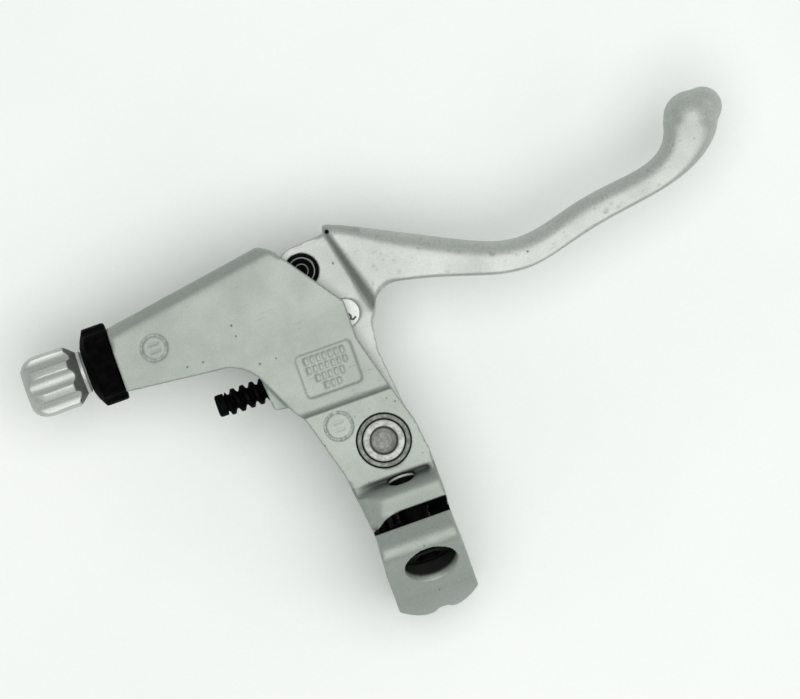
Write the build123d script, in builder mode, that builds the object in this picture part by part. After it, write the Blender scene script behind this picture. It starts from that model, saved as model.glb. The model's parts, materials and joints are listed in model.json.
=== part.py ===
"""Two-finger bicycle brake lever with a 22.2 mm handlebar clamp, as separate pieces.

Frame: millimetres, origin at the centre of the handlebar bore. +X runs along the bar towards
the tip of the blade, +Y points forward from the bar, +Z is parallel to the lever's pivot.
"""
from build123d import *
from math import cos, radians, sin
import os

# ---------------------------------------------------------------- driving dimensions
BAR_R = 11.1            # 22.2 mm handlebar
RING_R = 15.0           # outside of the clamp ring
PIVOT_Y = 21.2          # pivot in front of the bar's centre
MID_Z = 6.4             # the lever's middle plane above the bar's centre

CHANNEL_HALF = 4.6      # half the slot between the bracket's two cheeks
PLATE_HALF = 8.2        # bracket's half thickness at the nose and label plate
PLATFORM_HALF = 9.6     # bracket's half thickness round the pivot
ARM_HALF = 4.0          # half the thickness of the lever's arm
SLOPE_WIDTH = 2.1       # slope along the front edge of each cheek
FIT = 0.05              # radial clearance of a running fit

BOLT_R = 3.0            # M6 clamp bolt
BOLT_HEAD_R = 5.0
BOLT_HEAD_H = 4.6       # low head, sunk in the jaw
BOLT_REACH = 16.0       # from the bar's centre to the bolt's axis
BOLT_X = 0.7            # the bolt stands a little off the ring's middle
BOLT_TILT = 15.5        # degrees that the bolt's head leans out of the bar's plane
COUNTERBORE_R = 5.4
BOLT_SEAT = 3.4         # from the slit's middle to the face under the head
BOLT_END = 9.0          # from the slit's middle to the bolt's tip
SLIT_HALF = 1.7

AXLE_R = 3.0
AXLE_HEAD_R = 4.3
AXLE_TOP = 9.5
AXLE_FOOT = -9.2
SLEEVE_R = 5.4
NEAR_STEP = 6.6         # the near sleeve's floor that the axle's head sits on
FAR_STEP = -7.2         # the far sleeve's floor that the washer sits on
CLIP_GROOVE = -8.2
CLIP_R = 4.1
CLIP_GAUGE = 0.6        # thickness of the clip and of the washer under it
WASHER_R = 4.2
THRUST_R = 5.8          # nylon washers either side of the arm
BUSH_R = 4.1            # outside of the bush pressed into the lever
HUB_R = 6.2

SPRING_R = 4.7          # light torsion spring round the bush
WIRE_R = 0.4
SPRING_LOW = -3.5
SPRING_TURNS = 2
SPRING_PITCH = 0.9
FIXED_LEG = 1.8
MOVING_LEG = 4.0

ADJUSTER_Y = 33.0       # adjuster's axis, in front of the pivot
NOSE_X = -45.0          # face that the lock nut bears on
STEM_R = 4.0            # M8 thread of the adjuster
STEM_END = -35.0
KNOB_R = 6.55
KNOB_END = -64.2
LAND_END = -54.8        # where the knob's lands run out into its cone
COLLAR_R = 4.45
COLLAR_START = -52.6
COLLAR_END = -51.75
FLUTES = 8
FLUTE_R = 2.0
FLUTE_DEPTH = 1.2
NUT_R = 8.2
NUT_LENGTH = 6.2
NUT_NOTCHES = 12
HOUSING_R = 2.55        # socket for a 5 mm cable housing
HOUSING_FLOOR = -52.0
SEAT_R = 2.3            # seat that the housing's end bears on
SEAT_LENGTH = 1.5
CABLE_R = 1.2           # way through for the inner cable
CABLE_SLOT = 1.8

REACH_Y = 17.4          # reach screw's axis, in front of the pivot
REACH_R = 2.55
REACH_CORE_R = 1.6
REACH_PITCH = 2.0
REACH_HEAD_X = -29.3
REACH_TIP_X = -7.1
REACH_FOOT = REACH_TIP_X - 1.6      # end of the screw, behind its nylon tip
THREAD_START = REACH_HEAD_X + 1.9
TENON_R = 0.8           # stalk of the nylon tip, pressed into the screw

HOOK_AT = (-4.2, 37.4)  # cable hook's centre, from the pivot
HOOK_R = 2.8
HOOK_LINER_R = 3.5
PLUG_AT = (1.2, 26.5)
PLUG_R = 2.9

PANEL_AT = (-5.6, 17.1)
PANEL_SIZE = (11.8, 9.0)
PANEL_DEPTH = 0.3
PANEL_ROWS = (7, 7, 5, 3)       # dashes in each row
ROW_PITCH = 1.9
DASH_PITCH = 1.25
DASH_WIDTH = 0.75
DASH_HEIGHT = 1.2
STAMPS = (((-37.0, 32.7), PLATE_HALF, 2.8), ((-7.5, 5.7), PLATFORM_HALF, 3.0))
STAMP_LINE = 0.55
STAMP_DEPTH = 0.4

# blade stations from the root to the tip: front edge, rear edge, half width across,
# and the radii of the front and rear corners
BLADE_STATIONS = (
    ((2.3, 44.4), (6.6, 23.8), 3.9, 1.6, 0.5),
    ((2.6, 44.8), (8.1, 27.5), 7.3, 2.4, 0.5),
    ((9.2, 42.0), (11.6, 29.2), 7.3, 3.4, 0.5),
    ((17.0, 38.1), (15.6, 28.6), 7.1, 3.8, 0.5),
    ((25.0, 34.1), (22.4, 26.8), 6.7, 3.9, 0.5),
    ((32.4, 30.7), (30.6, 24.2), 6.4, 3.7, 0.5),
    ((39.6, 29.3), (39.6, 22.8), 6.1, 3.6, 0.5),
    ((48.5, 31.0), (49.6, 24.9), 5.9, 3.5, 0.6),
    ((60.0, 33.2), (61.1, 27.2), 5.7, 3.4, 0.7),
    ((70.3, 35.5), (72.4, 29.3), 5.6, 3.4, 1.0),
    ((73.1, 38.3), (78.3, 31.7), 5.6, 3.4, 2.0),
    ((74.1, 41.4), (84.2, 37.1), 5.4, 4.2, 4.0),
)
TIP_BALLS = (((79.6, 40.3), 5.5), ((82.5, 41.6), 4.1))      # centre and radius of each

os.makedirs("parts", exist_ok=True)

LEVER = Plane(origin=(0, PIVOT_Y, MID_Z))            # outlines are drawn about the pivot
TILT_SIN = sin(radians(BOLT_TILT))
TILT_COS = cos(radians(BOLT_TILT))
# looking down the slit: local x runs along the bar, local y from the jaw to the lug
SLIT = Plane(origin=(0, 0, 0), x_dir=(1, 0, 0), z_dir=(0, TILT_SIN, TILT_COS))
# looking at the bolt's head: local z runs from the slit out of the head
BOLT = Plane(origin=(BOLT_X, BOLT_REACH * TILT_SIN, BOLT_REACH * TILT_COS),
             x_dir=(1, 0, 0), z_dir=(0, -TILT_COS, TILT_SIN))
BOLT_TOP = BOLT_SEAT + BOLT_HEAD_H
# half section of the bolt: local y is its axis
BOLT_SIDE = Plane(origin=BOLT.origin, x_dir=(1, 0, 0), z_dir=(0, -TILT_SIN, -TILT_COS))
# along the adjuster and the reach screw: local z runs towards +X, local x is +Y
ADJUSTER = Plane(origin=(0, PIVOT_Y + ADJUSTER_Y, MID_Z), x_dir=(0, 1, 0), z_dir=(1, 0, 0))
REACH = Plane(origin=(0, PIVOT_Y + REACH_Y, MID_Z), x_dir=(0, 1, 0), z_dir=(1, 0, 0))
# along the bracket's sloping front edge: local x points out of the bracket, local y is +Z
FRONT_START = Vector(NOSE_X, 39.5, 0)
FRONT_ALONG = (Vector(-11.0, 44.9, 0) - FRONT_START).normalized()
FRONT_EDGE = Plane(origin=LEVER.from_local_coords(FRONT_START - FRONT_ALONG * 5),
                   x_dir=(-FRONT_ALONG.Y, FRONT_ALONG.X, 0), z_dir=FRONT_ALONG)


def nearest(shapes, *point):
    """The vertex or edge of a list that lies nearest to a point."""
    return shapes.sort_by_distance(Vector(*point))[0]


def save(part, label):
    part.label = label
    export_step(part, f"parts/{label}.step")


def tube(plane, start, end, outer, inner):
    """A ring or bush between two heights on a plane."""
    with BuildPart() as ring:
        with BuildSketch(plane.offset(start)):
            Circle(outer)
            Circle(inner, mode=Mode.SUBTRACT)
        extrude(amount=end - start)
    return ring.part


# ---------------------------------------------------------------- bracket
def bracket_outline():
    """Side view of the nose and the arm that carries the pivot, about the pivot."""
    with BuildSketch() as outline:
        with BuildLine():
            Line((NOSE_X, 26.3), (-27.2, 24.3))
            ThreePointArc((-27.2, 24.3), (-22.4, 23.1), (-19.0, 19.5))
            Polyline((-19.0, 19.5), (-15.0, 11.1), (-13.4, 9.0), (-9.7, -4.0), (-8.3, -15.0),
                     (8.1, -15.0), (8.0, -5.0), (7.2, 1.7), (4.4, 11.2), (1.7, 21.0),
                     (1.75, 28.9), (-8.6, 43.4), (-11.0, 44.9), (NOSE_X, 39.5))
            Line((NOSE_X, 39.5), (NOSE_X, 26.3))
        make_face()
        for corner, radius in (((1.75, 28.9), 1.2), ((-8.6, 43.4), 1.0), ((-11.0, 44.9), 2.0),
                               ((-15.0, 11.1), 2.0), ((-13.4, 9.0), 2.0), ((7.2, 1.7), 4.0),
                               ((1.7, 21.0), 6.0), ((4.4, 11.2), 8.0)):
            fillet(nearest(outline.vertices(), *corner), radius)
    return outline.sketch


def clamp_silhouette():
    """Side view of the clamp's end, with its rounded back edge."""
    with BuildSketch() as outline:
        with BuildLine():
            Polyline((-8.6, -33.6), (-8.5, -25.0), (-8.0, -17.8), (-8.9, -9.6), (-9.7, -4.0),
                     (8.0, -4.0), (8.15, -13.5), (7.8, -17.8), (8.1, -25.0), (8.1, -33.6))
            ThreePointArc((8.1, -33.6), (-0.2, -36.6), (-8.6, -33.6))
        make_face()
    return outline.sketch


# clamp ring with its jaw, lug and neck, seen along the bar, trimmed to the silhouette
with BuildPart() as clamp_block:
    with BuildSketch(Plane.YZ.offset(-10)):
        Circle(RING_R)
        with BuildLine():
            Polyline((-11.6, 8.9), (-1.7, 23.2), (0.4, 23.6), (3.8, 21.4), (6.9, 18.5),
                     (10.3, 19.1), (12.8, 16.0), (17.5, 16.0), (17.5, -3.2), (13.4, -7.0),
                     (9.3, -11.75), (-11.6, 8.9))
        make_face()
    extrude(amount=20)
    ridges = clamp_block.edges().filter_by(Axis.X)
    fillet(ridges.sort_by_distance(Vector(0, 0.0, 23.5))[0:2], 2.0)
    fillet(nearest(clamp_block.edges().filter_by(Axis.X), 0, 10.3, 19.1), 1.4)
    with BuildSketch(Plane(origin=(0, PIVOT_Y, -20))):
        add(clamp_silhouette())
    extrude(amount=50, mode=Mode.INTERSECT)

# trough between the lug and the platform, where the bolt's tip comes out; it runs out shallow
# towards the nose
with BuildPart() as trough:
    with BuildSketch(Plane.YZ.offset(-11)):
        Polygon((11.0, 24.0), (11.2, 18.2), (13.2, 14.2), (13.8, 14.0), (13.8, 24.0),
                align=None)
    extrude(amount=17.8)
    with BuildSketch(Plane.XZ):
        Polygon((-11.0, 17.0), (-8.6, 16.0), (-3.5, 13.9), (7.0, 13.9), (7.0, 24.5), (-11.0, 24.5),
                align=None)
    extrude(amount=-20, mode=Mode.INTERSECT)

with BuildPart() as bracket:
    # nose and label plate
    with BuildSketch(LEVER.offset(-PLATE_HALF)):
        add(bracket_outline())
    extrude(amount=2 * PLATE_HALF)
    # slope along the front edge of each cheek
    with BuildSketch(FRONT_EDGE):
        for side in (1, -1):
            Polygon((-SLOPE_WIDTH, side * (PLATE_HALF + 0.01)), (2.0, side * (PLATE_HALF + 0.01)),
                    (2.0, side * (PLATE_HALF - SLOPE_WIDTH - 2.0)), align=None)
    extrude(amount=60, mode=Mode.SUBTRACT)
    # thicker platform round the pivot, with a soft step up from the label plate
    with BuildSketch(LEVER.offset(-PLATFORM_HALF)):
        add(bracket_outline())
        with Locations((-3, -2.6)):
            Rectangle(30, 24.2, mode=Mode.INTERSECT)
    extrude(amount=2 * PLATFORM_HALF)
    steps = bracket.edges().filter_by(Axis.X).filter_by(
        lambda edge: abs(edge.center().Y - PIVOT_Y - 9.5) < 0.01
        and abs(abs(edge.center().Z - MID_Z) - PLATE_HALF) < 0.01)
    fillet(steps, 1.1)
    add(clamp_block.part)
    # boss of the reach screw, behind the near cheek
    with BuildSketch(LEVER.offset(-CHANNEL_HALF)) as boss:
        Polygon((-19.2, 20.6), (-18.6, 12.8), (-15.6, 12.4), (-12.5, 11.0), (-12.5, 20.6),
                align=None)
        fillet(nearest(boss.vertices(), -18.6, 12.8), 0.9)
    extrude(amount=2 * CHANNEL_HALF)

    # slot between the cheeks, closed towards the bar and in front, open towards the blade
    with BuildSketch(LEVER.offset(-CHANNEL_HALF)) as channel:
        Polygon((0, -HUB_R - 0.6), (-8.0, -1.0), (-9.7, 4.8), (-12.4, 11.6), (-16.0, 19.2),
                (-19.2, 24.0), (-25.5, 26.7), (-32.0, 27.3), (-32.0, 38.7), (-10.9, 42.3),
                (-6.0, 47.0), (16.0, 47.0), (16.0, -HUB_R - 0.6), align=None)
        fillet(nearest(channel.vertices(), -19.2, 24.0), 4.0)
        fillet(nearest(channel.vertices(), -8.0, -1.0), 3.0)
        Circle(HUB_R + 0.6)
    extrude(amount=2 * CHANNEL_HALF, mode=Mode.SUBTRACT)

    # handlebar bore and the slit beside the bolt, which narrows towards the nose side
    with BuildSketch(Plane.YZ.offset(-15)):
        Circle(BAR_R)
    extrude(amount=30, mode=Mode.SUBTRACT)
    with BuildSketch(SLIT.offset(5)):
        with BuildLine():
            Polyline((-10.0, -1.3), (-10.0, -SLIT_HALF), (10.0, -SLIT_HALF), (10.0, SLIT_HALF),
                     (-1.6, SLIT_HALF))
            ThreePointArc((-1.6, SLIT_HALF), (-5.2, 0.85), (-8.0, -1.1))
            Line((-8.0, -1.1), (-10.0, -1.3))
        make_face()
    extrude(amount=22, mode=Mode.SUBTRACT)
    # gentle slope on the lug's nose side
    with BuildSketch(Plane.XZ.offset(-12.8)):
        Polygon((-3.0, 19.6), (-9.8, 16.6), (-12.0, 16.6), (-12.0, 26.0), (-3.0, 26.0),
                align=None)
    extrude(amount=7.6, mode=Mode.SUBTRACT)
    add(trough.part, mode=Mode.SUBTRACT)
    # clamp bolt: counterbore, clearance through the jaw, thread in the lug
    with BuildSketch(BOLT.offset(BOLT_SEAT)):
        Circle(COUNTERBORE_R)
    extrude(amount=14, mode=Mode.SUBTRACT)
    with BuildSketch(BOLT):
        Circle(BOLT_R + 0.15)
    extrude(amount=BOLT_SEAT, mode=Mode.SUBTRACT)
    with BuildSketch(BOLT.offset(-BOLT_END - 0.4)):
        Circle(BOLT_R + FIT)
    extrude(amount=BOLT_END + 0.4, mode=Mode.SUBTRACT)
    # shallow scallop in the back of the ring
    with BuildSketch(LEVER.offset(-20)):
        with BuildLine():
            Polyline((-3.2, -39.0), (-2.6, -36.6), (-0.9, -35.5), (0.9, -35.5), (2.5, -36.6),
                     (3.1, -39.0), (-3.2, -39.0))
        make_face()
    extrude(amount=30, mode=Mode.SUBTRACT)

    # pivot holes: a sleeve seat in each cheek
    with BuildSketch(LEVER.offset(-PLATFORM_HALF - 1)):
        Circle(SLEEVE_R + FIT)
    extrude(amount=2 * PLATFORM_HALF + 2, mode=Mode.SUBTRACT)
    # adjuster thread, and the slot that a cable drops in through
    with BuildSketch(ADJUSTER.offset(NOSE_X - 1)):
        Circle(STEM_R + FIT)
    extrude(amount=16, mode=Mode.SUBTRACT)
    with BuildSketch(LEVER.offset(-CABLE_SLOT / 2)):
        Polygon((-50.0, ADJUSTER_Y), (-50.0, 50.0), (-4.0, 50.0), (-20.0, ADJUSTER_Y), align=None)
    extrude(amount=CABLE_SLOT, mode=Mode.SUBTRACT)
    # reach screw's hole through the boss
    with BuildSketch(REACH.offset(-22)):
        Circle(REACH_R + FIT)
    extrude(amount=12, mode=Mode.SUBTRACT)

    # label panel with rows of plain raised dashes, and two plain round stamps, on the near cheek
    with BuildSketch(LEVER.offset(PLATE_HALF - PANEL_DEPTH)):
        with Locations(PANEL_AT):
            RectangleRounded(*PANEL_SIZE, 1.0)
    extrude(amount=1, mode=Mode.SUBTRACT)
    with BuildSketch(LEVER.offset(PLATE_HALF - PANEL_DEPTH)):
        for row, dashes in enumerate(PANEL_ROWS):
            with Locations((PANEL_AT[0], PANEL_AT[1] + ROW_PITCH * (1.5 - row))):
                with GridLocations(DASH_PITCH, 1, dashes, 1):
                    Rectangle(DASH_WIDTH, DASH_HEIGHT)
    extrude(amount=PANEL_DEPTH)
    for centre, face, radius in STAMPS:
        with BuildSketch(LEVER.offset(face - STAMP_DEPTH)):
            with Locations(centre):
                Circle(radius)
                Circle(radius - STAMP_LINE, mode=Mode.SUBTRACT)
            with Locations(centre):
                with GridLocations(1, 1.5, 1, 2):
                    Rectangle(2.4, STAMP_LINE)
        extrude(amount=1, mode=Mode.SUBTRACT)
save(bracket.part, "bracket")

# ---------------------------------------------------------------- clamp bolt
with BuildPart() as clamp_bolt:
    with BuildSketch(BOLT_SIDE):
        Polygon((0, -BOLT_END), (BOLT_R - 0.5, -BOLT_END), (BOLT_R - 0.02, 0.5 - BOLT_END),
                (BOLT_R - 0.02, BOLT_SEAT), (BOLT_HEAD_R, BOLT_SEAT), (BOLT_HEAD_R, BOLT_TOP - 0.5),
                (BOLT_HEAD_R - 0.5, BOLT_TOP), (0, BOLT_TOP), align=None)
    revolve(axis=Axis(BOLT.origin, BOLT.z_dir))
    with BuildSketch(BOLT.offset(BOLT_TOP)):
        RegularPolygon(2.5, 6, major_radius=False)
    extrude(amount=-3.2, mode=Mode.SUBTRACT)
save(clamp_bolt.part, "clamp_bolt")

# ---------------------------------------------------------------- pivot
AXLE_SIDE = Plane(origin=LEVER.origin, x_dir=(1, 0, 0), z_dir=(0, -1, 0))
FAR_LEVER = Plane(origin=LEVER.origin, x_dir=(1, 0, 0), z_dir=(0, 0, -1))


def sleeve(plane, floor):
    """A cup pressed into a cheek: a bored floor and a wider recess up to the outer face."""
    with BuildPart() as cup:
        with BuildSketch(plane.offset(CHANNEL_HALF)):
            Circle(SLEEVE_R)
            Circle(AXLE_R + FIT, mode=Mode.SUBTRACT)
        extrude(amount=PLATFORM_HALF - CHANNEL_HALF)
        with BuildSketch(plane.offset(floor)):
            Circle(AXLE_HEAD_R + FIT)
        extrude(amount=PLATFORM_HALF, mode=Mode.SUBTRACT)
        mouth = cup.faces().sort_by(Axis(plane.origin, plane.z_dir))[-1]
        chamfer(mouth.edges(), 0.15)
    return cup.part


save(sleeve(LEVER, NEAR_STEP), "pivot_sleeve_near")
save(sleeve(FAR_LEVER, -FAR_STEP), "pivot_sleeve_far")

with BuildPart() as pivot_axle:
    with BuildSketch(AXLE_SIDE):
        Polygon((0, AXLE_FOOT), (AXLE_R - 0.4, AXLE_FOOT), (AXLE_R, AXLE_FOOT + 0.4),
                (AXLE_R, CLIP_GROOVE - 0.35), (AXLE_R - 0.6, CLIP_GROOVE - 0.35),
                (AXLE_R - 0.6, CLIP_GROOVE + 0.35), (AXLE_R, CLIP_GROOVE + 0.35),
                (AXLE_R, NEAR_STEP), (AXLE_HEAD_R, NEAR_STEP), (AXLE_HEAD_R, AXLE_TOP - 0.2),
                (AXLE_HEAD_R - 0.2, AXLE_TOP), (2.85, AXLE_TOP), (2.6, AXLE_TOP - 0.6),
                (1.5, AXLE_TOP - 0.85), (0, AXLE_TOP - 0.9), align=None)
    revolve(axis=Axis((0, PIVOT_Y, MID_Z), (0, 0, 1)))
save(pivot_axle.part, "pivot_axle")

save(tube(LEVER, FAR_STEP - CLIP_GAUGE, FAR_STEP, WASHER_R, AXLE_R + FIT), "axle_washer")

with BuildPart() as axle_clip:
    with BuildSketch(LEVER.offset(CLIP_GROOVE - CLIP_GAUGE / 2)):
        Circle(CLIP_R)
        Circle(AXLE_R - 0.55, mode=Mode.SUBTRACT)
        with Locations((3, 0)):
            Rectangle(6, 3.6, mode=Mode.SUBTRACT)
        with PolarLocations(3.4, 2, start_angle=120, angular_range=120, endpoint=True):
            Circle(0.4, mode=Mode.SUBTRACT)
    extrude(amount=CLIP_GAUGE)
save(axle_clip.part, "axle_clip")

for heights, label in (((ARM_HALF + FIT, CHANNEL_HALF - FIT), "thrust_washer_near"),
                       ((FIT - CHANNEL_HALF, -FIT - ARM_HALF), "thrust_washer_far")):
    save(tube(LEVER, *heights, THRUST_R, AXLE_R + FIT), label)

# torsion spring, one leg on the bracket's wall and one on the arm
with BuildPart() as return_spring:
    with BuildLine(LEVER.offset(SPRING_LOW)) as coil_line:
        Helix(SPRING_PITCH, SPRING_PITCH * SPRING_TURNS, SPRING_R)
    with BuildSketch(Plane(coil_line.line @ 0, z_dir=coil_line.line % 0)):
        Circle(WIRE_R)
    sweep(is_frenet=True)
    # fixed leg, towards the back of the bracket
    with BuildSketch(Plane(coil_line.line @ 0, z_dir=-(coil_line.line % 0))):
        Circle(WIRE_R)
    extrude(amount=FIXED_LEG)
    # moving leg, along the arm
    with BuildSketch(Plane(coil_line.line @ 1, z_dir=coil_line.line % 1)):
        Circle(WIRE_R)
    extrude(amount=MOVING_LEG)
save(return_spring.part, "return_spring")

# ---------------------------------------------------------------- lever


def blade_section(front, rear, half_width, front_radius, rear_radius):
    """A section across the blade, well rounded in front and nearly square behind."""
    middle = (Vector(*front) + Vector(*rear)) * 0.5
    across = Vector(*front) - Vector(*rear)
    plane = Plane(origin=LEVER.from_local_coords(Vector(middle.X, middle.Y, 0)),
                  x_dir=across, z_dir=across.cross(Vector(0, 0, 1)))
    with BuildSketch(plane) as section:
        Rectangle(across.length, 2 * half_width)
        rear_corners = section.vertices().group_by(Axis.X)[0]
        fillet(section.vertices().group_by(Axis.X)[-1], front_radius)
        fillet([nearest(section.vertices(), *corner) for corner in rear_corners], rear_radius)
    return section.sketch


with BuildPart() as lever_blade:
    # sloping wall from the arm up to the blade's full width, then the blade itself
    for station in BLADE_STATIONS[:2]:
        add(blade_section(*station))
    loft(ruled=True)
    for station in BLADE_STATIONS[1:]:
        add(blade_section(*station))
    loft()
    for centre, radius in TIP_BALLS:
        with Locations(LEVER.from_local_coords(Vector(*centre, 0))):
            Sphere(radius)
    # arm between the cheeks
    with BuildSketch(LEVER.offset(-ARM_HALF)) as arm:
        with BuildLine():
            Polyline((-HUB_R, 0), (-7.0, 12.0), (-7.0, 20.0), (-9.2, 36.4))
            ThreePointArc((-9.2, 36.4), (-8.2, 40.6), (-4.2, 42.5))
            Polyline((-4.2, 42.5), (2.6, 43.0), (5.6, 40.0), (8.2, 29.0), (7.3, 26.0), (5.6, 22.6),
                     (4.9, 17.4), (6.1, 6.0), (HUB_R, 0))
            ThreePointArc((HUB_R, 0), (0, -HUB_R), (-HUB_R, 0))
        make_face()
        fillet(nearest(arm.vertices(), 4.9, 17.4), 9.0)
        fillet(nearest(arm.vertices(), 5.6, 22.6), 4.0)
    extrude(amount=2 * ARM_HALF)
    # room for the spring on the far side of the hub
    with BuildSketch(LEVER.offset(-ARM_HALF - 1)) as spring_room:
        Circle(HUB_R + 0.5)
        with Locations((-5, 1.5)):
            Rectangle(10, 10, mode=Mode.ADD)
    extrude(amount=1 + ARM_HALF - 0.9, mode=Mode.SUBTRACT)
    # bores for the bush, the hook's liner and the plug
    with BuildSketch(LEVER.offset(-ARM_HALF - 1)):
        Circle(BUSH_R)
        with Locations(HOOK_AT):
            Circle(HOOK_LINER_R)
        with Locations(PLUG_AT):
            Circle(PLUG_R)
    extrude(amount=2 * ARM_HALF + 2, mode=Mode.SUBTRACT)
    # slot for the cable above the hook
    with BuildSketch(LEVER.offset(-1.1)):
        Polygon((-12.0, 36.4), (-4.2, 36.4), (0.2, 38.6), (0.2, 46.0), (-12.0, 46.0), align=None)
    extrude(amount=2.2, mode=Mode.SUBTRACT)
save(lever_blade.part, "lever_blade")

save(tube(LEVER, -ARM_HALF, ARM_HALF, BUSH_R, AXLE_R + FIT), "lever_bush")

with BuildPart() as guide_plug:
    with BuildSketch(LEVER.offset(-ARM_HALF - 0.1)):
        with Locations(PLUG_AT):
            Circle(PLUG_R)
    extrude(amount=2 * ARM_HALF + 0.2)
    chamfer(guide_plug.edges().filter_by(GeomType.CIRCLE), 0.2)
save(guide_plug.part, "guide_plug")

HOOK = Plane(origin=LEVER.from_local_coords(Vector(*HOOK_AT, 0)))
with BuildPart() as hook_liner:
    with BuildSketch(HOOK.offset(-ARM_HALF)):
        Circle(HOOK_LINER_R)
        Circle(HOOK_R + FIT, mode=Mode.SUBTRACT)
    extrude(amount=2 * ARM_HALF)
    with BuildSketch(HOOK.offset(-1.1)):
        with Locations((0, 3.5)):
            Rectangle(9, 9, mode=Mode.ADD)
    extrude(amount=2.2, mode=Mode.SUBTRACT)
save(hook_liner.part, "hook_liner")

with BuildPart() as cable_hook:
    with BuildSketch(HOOK.offset(-ARM_HALF)):
        Circle(HOOK_R)
    extrude(amount=2 * ARM_HALF)
    for face in (ARM_HALF - 0.3, -ARM_HALF - 0.7):
        with BuildSketch(HOOK.offset(face)):
            Circle(1.5)
            Circle(1.2, mode=Mode.SUBTRACT)
            Circle(0.6)
        extrude(amount=1, mode=Mode.SUBTRACT)
    # pocket for the cable's end, and the slot that the cable leaves by
    with BuildSketch(HOOK.offset(-0.9)):
        with Locations((0, 2.5)):
            Rectangle(8, 5.6, mode=Mode.ADD)
    extrude(amount=1.8, mode=Mode.SUBTRACT)
save(cable_hook.part, "cable_hook")

# ---------------------------------------------------------------- cable adjuster
with BuildPart() as adjuster_barrel:
    with BuildSketch(ADJUSTER.offset(KNOB_END)):
        Circle(KNOB_R)
        with PolarLocations(KNOB_R - FLUTE_DEPTH + FLUTE_R, FLUTES):
            Circle(FLUTE_R, mode=Mode.SUBTRACT)
    extrude(amount=COLLAR_START - KNOB_END)
    # domed end of the knob, and the cone that its flutes run out into
    with BuildSketch(Plane(origin=ADJUSTER.origin)):
        with BuildLine():
            Line((KNOB_END, 0), (KNOB_END, 4.2))
            ThreePointArc((KNOB_END, 4.2), (-62.7, 5.85), (-59.4, KNOB_R))
            Polyline((-59.4, KNOB_R), (LAND_END, KNOB_R - 0.1), (COLLAR_START, COLLAR_R),
                     (COLLAR_START, 0), (KNOB_END, 0))
        make_face()
    revolve(axis=Axis(ADJUSTER.origin, (1, 0, 0)), mode=Mode.INTERSECT)
    # grooved collar and threaded stem
    with BuildSketch(Plane(origin=ADJUSTER.origin)):
        Polygon((LAND_END, 0), (LAND_END, COLLAR_R - 0.2), (COLLAR_START, COLLAR_R - 0.2),
                (COLLAR_START + 0.3, COLLAR_R), (COLLAR_END, COLLAR_R), (COLLAR_END, STEM_R),
                (STEM_END - 0.6, STEM_R), (STEM_END, STEM_R - 0.6), (STEM_END, 0), align=None)
    revolve(axis=Axis(ADJUSTER.origin, (1, 0, 0)))
    # housing socket, cable hole and the slot that lets a cable in from the side
    with BuildSketch(ADJUSTER.offset(KNOB_END - 1)):
        Circle(HOUSING_R + FIT)
    extrude(amount=HOUSING_FLOOR - KNOB_END + 1, mode=Mode.SUBTRACT)
    with BuildSketch(ADJUSTER.offset(HOUSING_FLOOR)):
        Circle(SEAT_R + FIT)
    extrude(amount=SEAT_LENGTH, mode=Mode.SUBTRACT)
    with BuildSketch(ADJUSTER.offset(HOUSING_FLOOR)):
        Circle(CABLE_R + FIT)
    extrude(amount=20, mode=Mode.SUBTRACT)
    with BuildSketch(ADJUSTER.offset(KNOB_END - 1)):
        with Locations((5, 0)):
            Rectangle(10, CABLE_SLOT)
    extrude(amount=32, mode=Mode.SUBTRACT)
save(adjuster_barrel.part, "adjuster_barrel")

with BuildPart() as adjuster_seat:
    with BuildSketch(ADJUSTER.offset(HOUSING_FLOOR)):
        Circle(SEAT_R)
        Circle(CABLE_R, mode=Mode.SUBTRACT)
        with Locations((2.5, 0)):
            Rectangle(5, CABLE_SLOT, mode=Mode.SUBTRACT)
    extrude(amount=SEAT_LENGTH - 0.05)
save(adjuster_seat.part, "adjuster_seat")

with BuildPart() as lock_nut:
    with BuildSketch(ADJUSTER.offset(NOSE_X - NUT_LENGTH - 0.2)):
        Circle(NUT_R)
        with PolarLocations(NUT_R + 2.6, NUT_NOTCHES):
            Circle(3.0, mode=Mode.SUBTRACT)
    extrude(amount=NUT_LENGTH)
    with BuildSketch(Plane(origin=ADJUSTER.origin)):
        Polygon((-51.4, 0), (-51.4, 4.7), (-50.9, 6.1), (-49.8, NUT_R), (-45.5, NUT_R),
                (-45.2, NUT_R - 0.3), (-45.2, 0), align=None)
    revolve(axis=Axis(ADJUSTER.origin, (1, 0, 0)), mode=Mode.INTERSECT)
    with BuildSketch(ADJUSTER.offset(NOSE_X - NUT_LENGTH - 1)):
        Circle(STEM_R + FIT)
        with Locations((5, 0)):
            Rectangle(10, CABLE_SLOT)
    extrude(amount=NUT_LENGTH + 2, mode=Mode.SUBTRACT)
save(lock_nut.part, "lock_nut")

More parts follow.
